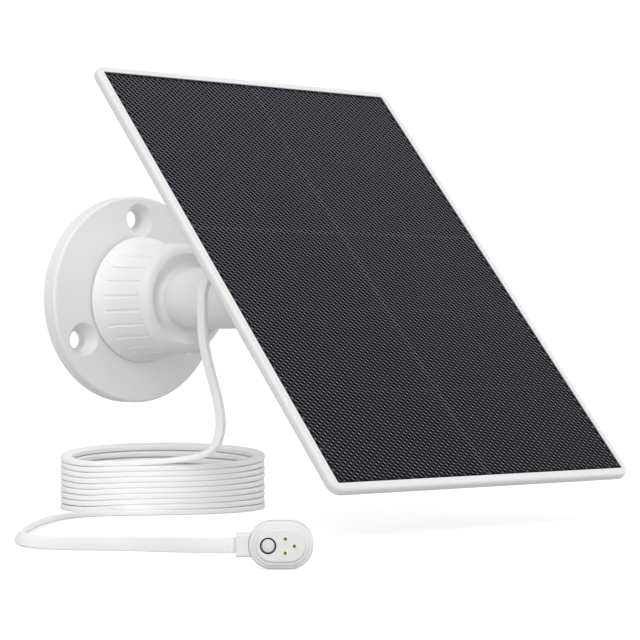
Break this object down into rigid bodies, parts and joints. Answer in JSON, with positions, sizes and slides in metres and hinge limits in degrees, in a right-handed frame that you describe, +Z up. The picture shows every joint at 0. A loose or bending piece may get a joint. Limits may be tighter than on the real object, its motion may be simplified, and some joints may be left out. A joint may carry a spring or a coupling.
{
  "type": "solar charging panel with wall mount",
  "caption": "Small framed solar panel on a round wall mount with clamp collar, swivel and tilt, and a coiled flat lead ending in a magnetic contact connector.",
  "frame": {"origin": "centre of the wall plate's rear face, on the wall", "axes": "+Y into the wall along the mount's axis, -Y outwards towards the panel, +Z up"},
  "size_m": [0.1963, 0.226, 0.1367],
  "materials": {
    "white_housing": "fine satin moulded ABS/ASA",
    "connector_face": "smooth moulded plastic",
    "friction_plastic": "acetal",
    "lead_jacket": "smooth white flat lead jacket",
    "seal_rubber": "soft seal",
    "embossed_film": "embossed film with rows of fine dimples",
    "clear_encapsulant": "clear sheet bonded round the cells",
    "silicon_cell": "dark monocrystalline silicon",
    "tinned_copper": "flat tinned ribbon",
    "circuit_board": "glass-filled laminate",
    "component_black": "moulded epoxy",
    "steel_fastener": "zinc-plated steel",
    "nickel_magnet": "satin nickel",
    "dark_bezel": "dark ring",
    "gold_contact": "gold-plated brass",
    "spring_steel": "fine spring wire"
  },
  "bodies": {
    "wall_mount": {"wall_plate": "white_housing", "lower_washer": "friction_plastic", "lead_hang": "lead_jacket", "lead_coil": "lead_jacket", "lead_out": "lead_jacket", "connector_boot": "white_housing", "connector_rear": "white_housing", "connector_front": "white_housing", "contact_block": "connector_face", "magnet_bezel": "dark_bezel", "magnet": "nickel_magnet", "pin_barrels": "gold_contact", "connector_board": "circuit_board", "pin_spring_1": "spring_steel", "pin_spring_2": "spring_steel", "pin_spring_3": "spring_steel"},
    "collar": {"clamp_collar": "white_housing", "upper_washer": "friction_plastic"},
    "stem": {"stem": "white_housing", "stem_plug": "white_housing", "stem_grommet": "seal_rubber", "cable_gland": "white_housing", "inner_lead": "lead_jacket", "tilt_washers": "friction_plastic"},
    "panel": {"panel_frame": "white_housing", "face_film": "embossed_film", "encapsulant": "clear_encapsulant", "solar_cells": "silicon_cell", "cell_ribbons": "tinned_copper", "back_sheet": "circuit_board", "rear_cover": "white_housing", "rear_gasket": "seal_rubber", "cover_screws": "steel_fastener", "hinge_bracket": "white_housing", "bracket_screws": "steel_fastener", "hinge_bolt": "steel_fastener", "hinge_nut": "steel_fastener", "panel_grommet": "seal_rubber", "junction_board": "circuit_board", "bypass_diode": "component_black", "board_terminal": "component_black", "tab_leads": "tinned_copper"},
    "pin_1": {"contact_pin_1": "gold_contact"},
    "pin_2": {"contact_pin_2": "gold_contact"},
    "pin_3": {"contact_pin_3": "gold_contact"}
  },
  "joints": [
    {"name": "collar_turn", "type": "hinge", "parent": "wall_mount", "child": "collar", "pos_m": [0, -0.02, 0], "axis": [0, -1, 0], "range_deg": [0, 60]},
    {"name": "stem_swivel", "type": "hinge", "parent": "wall_mount", "child": "stem", "pos_m": [0, -0.02, 0], "axis": [0, -1, 0], "range_deg": [-30, 30]},
    {"name": "panel_tilt", "type": "hinge", "parent": "stem", "child": "panel", "pos_m": [0, -0.098, 0], "axis": [1, 0, 0], "range_deg": [-28, 40]},
    {"name": "pin_1_press", "type": "slide", "parent": "wall_mount", "child": "pin_1", "axis": [-0.6652, -0.7466, 0], "range_m": [-0.0007, 0], "stiffness_N_per_m": 700, "springref_m": 0.0004, "deforming": ["pin_spring_1"]},
    {"name": "pin_2_press", "type": "slide", "parent": "wall_mount", "child": "pin_2", "axis": [-0.6652, -0.7466, 0], "range_m": [-0.0007, 0], "stiffness_N_per_m": 700, "springref_m": 0.0004, "deforming": ["pin_spring_2"]},
    {"name": "pin_3_press", "type": "slide", "parent": "wall_mount", "child": "pin_3", "axis": [-0.6652, -0.7466, 0], "range_m": [-0.0007, 0], "stiffness_N_per_m": 700, "springref_m": 0.0004, "deforming": ["pin_spring_3"]}
  ]
}
